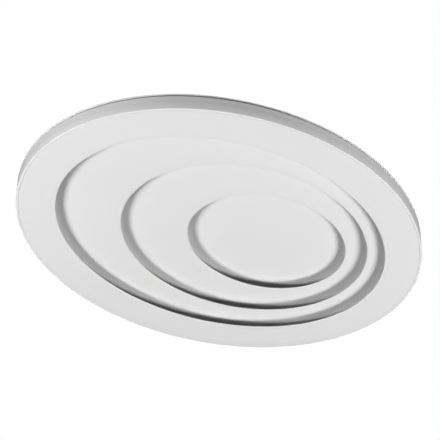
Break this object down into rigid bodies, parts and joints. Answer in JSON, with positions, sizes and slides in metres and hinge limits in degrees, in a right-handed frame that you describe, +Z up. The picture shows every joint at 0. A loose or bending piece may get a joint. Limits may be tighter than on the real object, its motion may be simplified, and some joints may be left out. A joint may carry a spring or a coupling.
{
  "type": "oval ceiling luminaire",
  "caption": "Shallow white oval ceiling fitting: stepped opal diffuser plates in a rim frame, pulling down off a pressed steel pan with its driver, LED boards and terminal block.",
  "frame": {"origin": "middle of the pan's flat back, where it meets the ceiling", "axes": "+X along the long axis towards the end that the recesses crowd, +Z up into the ceiling, +Y across"},
  "size_m": [0.72, 0.566, 0.074],
  "materials": {
    "diffuser": "opal white moulded acrylic, satin",
    "rim_paint": "white moulded plastic, satin",
    "pan_paint": "white powder coat on pressed steel sheet",
    "foam": "dark closed-cell foam strip",
    "grommet": "matt black",
    "brass": "bright brass",
    "nylon": "natural white nylon",
    "button": "orange moulded plastic",
    "driver_plastic": "fine-textured white plastic",
    "circuit_board": "green solder mask with components",
    "board_mask": "white solder mask",
    "lens": "clear moulded lenses",
    "spring_steel": "bare spring steel",
    "zinc_steel": "zinc-plated steel",
    "brown_lead": "brown insulation",
    "blue_lead": "blue insulation",
    "green_yellow_lead": "green and yellow insulation",
    "grey_lead": "grey twin insulation"
  },
  "bodies": {
    "base": {"base_pan": "pan_paint", "board_link_1": "nylon", "board_link_2": "nylon", "board_link_3": "nylon", "board_screw_1": "zinc_steel", "board_screw_2": "zinc_steel", "board_screw_3": "zinc_steel", "board_screw_4": "zinc_steel", "board_screw_5": "zinc_steel", "cable_grommet": "grommet", "catch_foot_1": "spring_steel", "catch_foot_2": "spring_steel", "catch_foot_3": "spring_steel", "catch_foot_4": "spring_steel", "catch_rivet_1": "zinc_steel", "catch_rivet_2": "zinc_steel", "catch_rivet_3": "zinc_steel", "catch_rivet_4": "zinc_steel", "driver_board": "circuit_board", "driver_case": "driver_plastic", "driver_lid": "driver_plastic", "driver_screw_1": "zinc_steel", "driver_screw_2": "zinc_steel", "earth_lead": "green_yellow_lead", "earth_screw": "brass", "earth_washer": "brass", "inner_led_lead": "grey_lead", "led_board_1": "board_mask", "led_board_2": "board_mask", "led_board_3": "board_mask", "led_board_4": "board_mask", "led_board_5": "board_mask", "lens_strip_1": "lens", "lens_strip_2": "lens", "lens_strip_3": "lens", "lens_strip_4": "lens", "lens_strip_5": "lens", "light_seal": "foam", "live_lead": "brown_lead", "neutral_lead": "blue_lead", "outer_led_lead": "grey_lead", "terminal_block": "nylon"},
    "cover": {"centre_plate": "diffuser", "diffuser_clip_1": "nylon", "diffuser_clip_2": "nylon", "diffuser_clip_3": "nylon", "diffuser_clip_4": "nylon", "diffuser_clip_5": "nylon", "diffuser_clip_6": "nylon", "face_plate": "diffuser", "middle_step_plate": "diffuser", "outer_step_plate": "diffuser", "rim_frame": "rim_paint"},
    "catch_1": {"catch_leaf_1": "spring_steel"},
    "catch_2": {"catch_leaf_2": "spring_steel"},
    "catch_3": {"catch_leaf_3": "spring_steel"},
    "catch_4": {"catch_leaf_4": "spring_steel"},
    "live_release": {"live_button": "button"},
    "neutral_release": {"neutral_button": "button"},
    "earth_release": {"earth_button": "button"}
  },
  "joints": [
    {"name": "cover_pull", "type": "slide", "parent": "base", "child": "cover", "axis": [0, 0, -1], "range_m": [0, 0.1]},
    {"name": "catch_flex_1", "type": "hinge", "parent": "base", "child": "catch_1", "pos_m": [0.27588, 0.16648, -0.0445], "axis": [-0.7049, 0.7093, 0], "range_deg": [0, 12], "stiffness_Nm_per_rad": 0.6},
    {"name": "catch_flex_2", "type": "hinge", "parent": "base", "child": "catch_2", "pos_m": [-0.27588, 0.16648, -0.0445], "axis": [-0.7049, -0.7093, 0], "range_deg": [0, 12], "stiffness_Nm_per_rad": 0.6},
    {"name": "catch_flex_3", "type": "hinge", "parent": "base", "child": "catch_3", "pos_m": [-0.27588, -0.16648, -0.0445], "axis": [0.7049, -0.7093, 0], "range_deg": [0, 12], "stiffness_Nm_per_rad": 0.6},
    {"name": "catch_flex_4", "type": "hinge", "parent": "base", "child": "catch_4", "pos_m": [0.27588, -0.16648, -0.0445], "axis": [0.7049, 0.7093, 0], "range_deg": [0, 12], "stiffness_Nm_per_rad": 0.6},
    {"name": "live_press", "type": "slide", "parent": "base", "child": "live_release", "axis": [0, 0, 1], "range_m": [0, 0.0015], "stiffness_N_per_m": 2000},
    {"name": "neutral_press", "type": "slide", "parent": "base", "child": "neutral_release", "axis": [0, 0, 1], "range_m": [0, 0.0015], "stiffness_N_per_m": 2000},
    {"name": "earth_press", "type": "slide", "parent": "base", "child": "earth_release", "axis": [0, 0, 1], "range_m": [0, 0.0015], "stiffness_N_per_m": 2000}
  ]
}
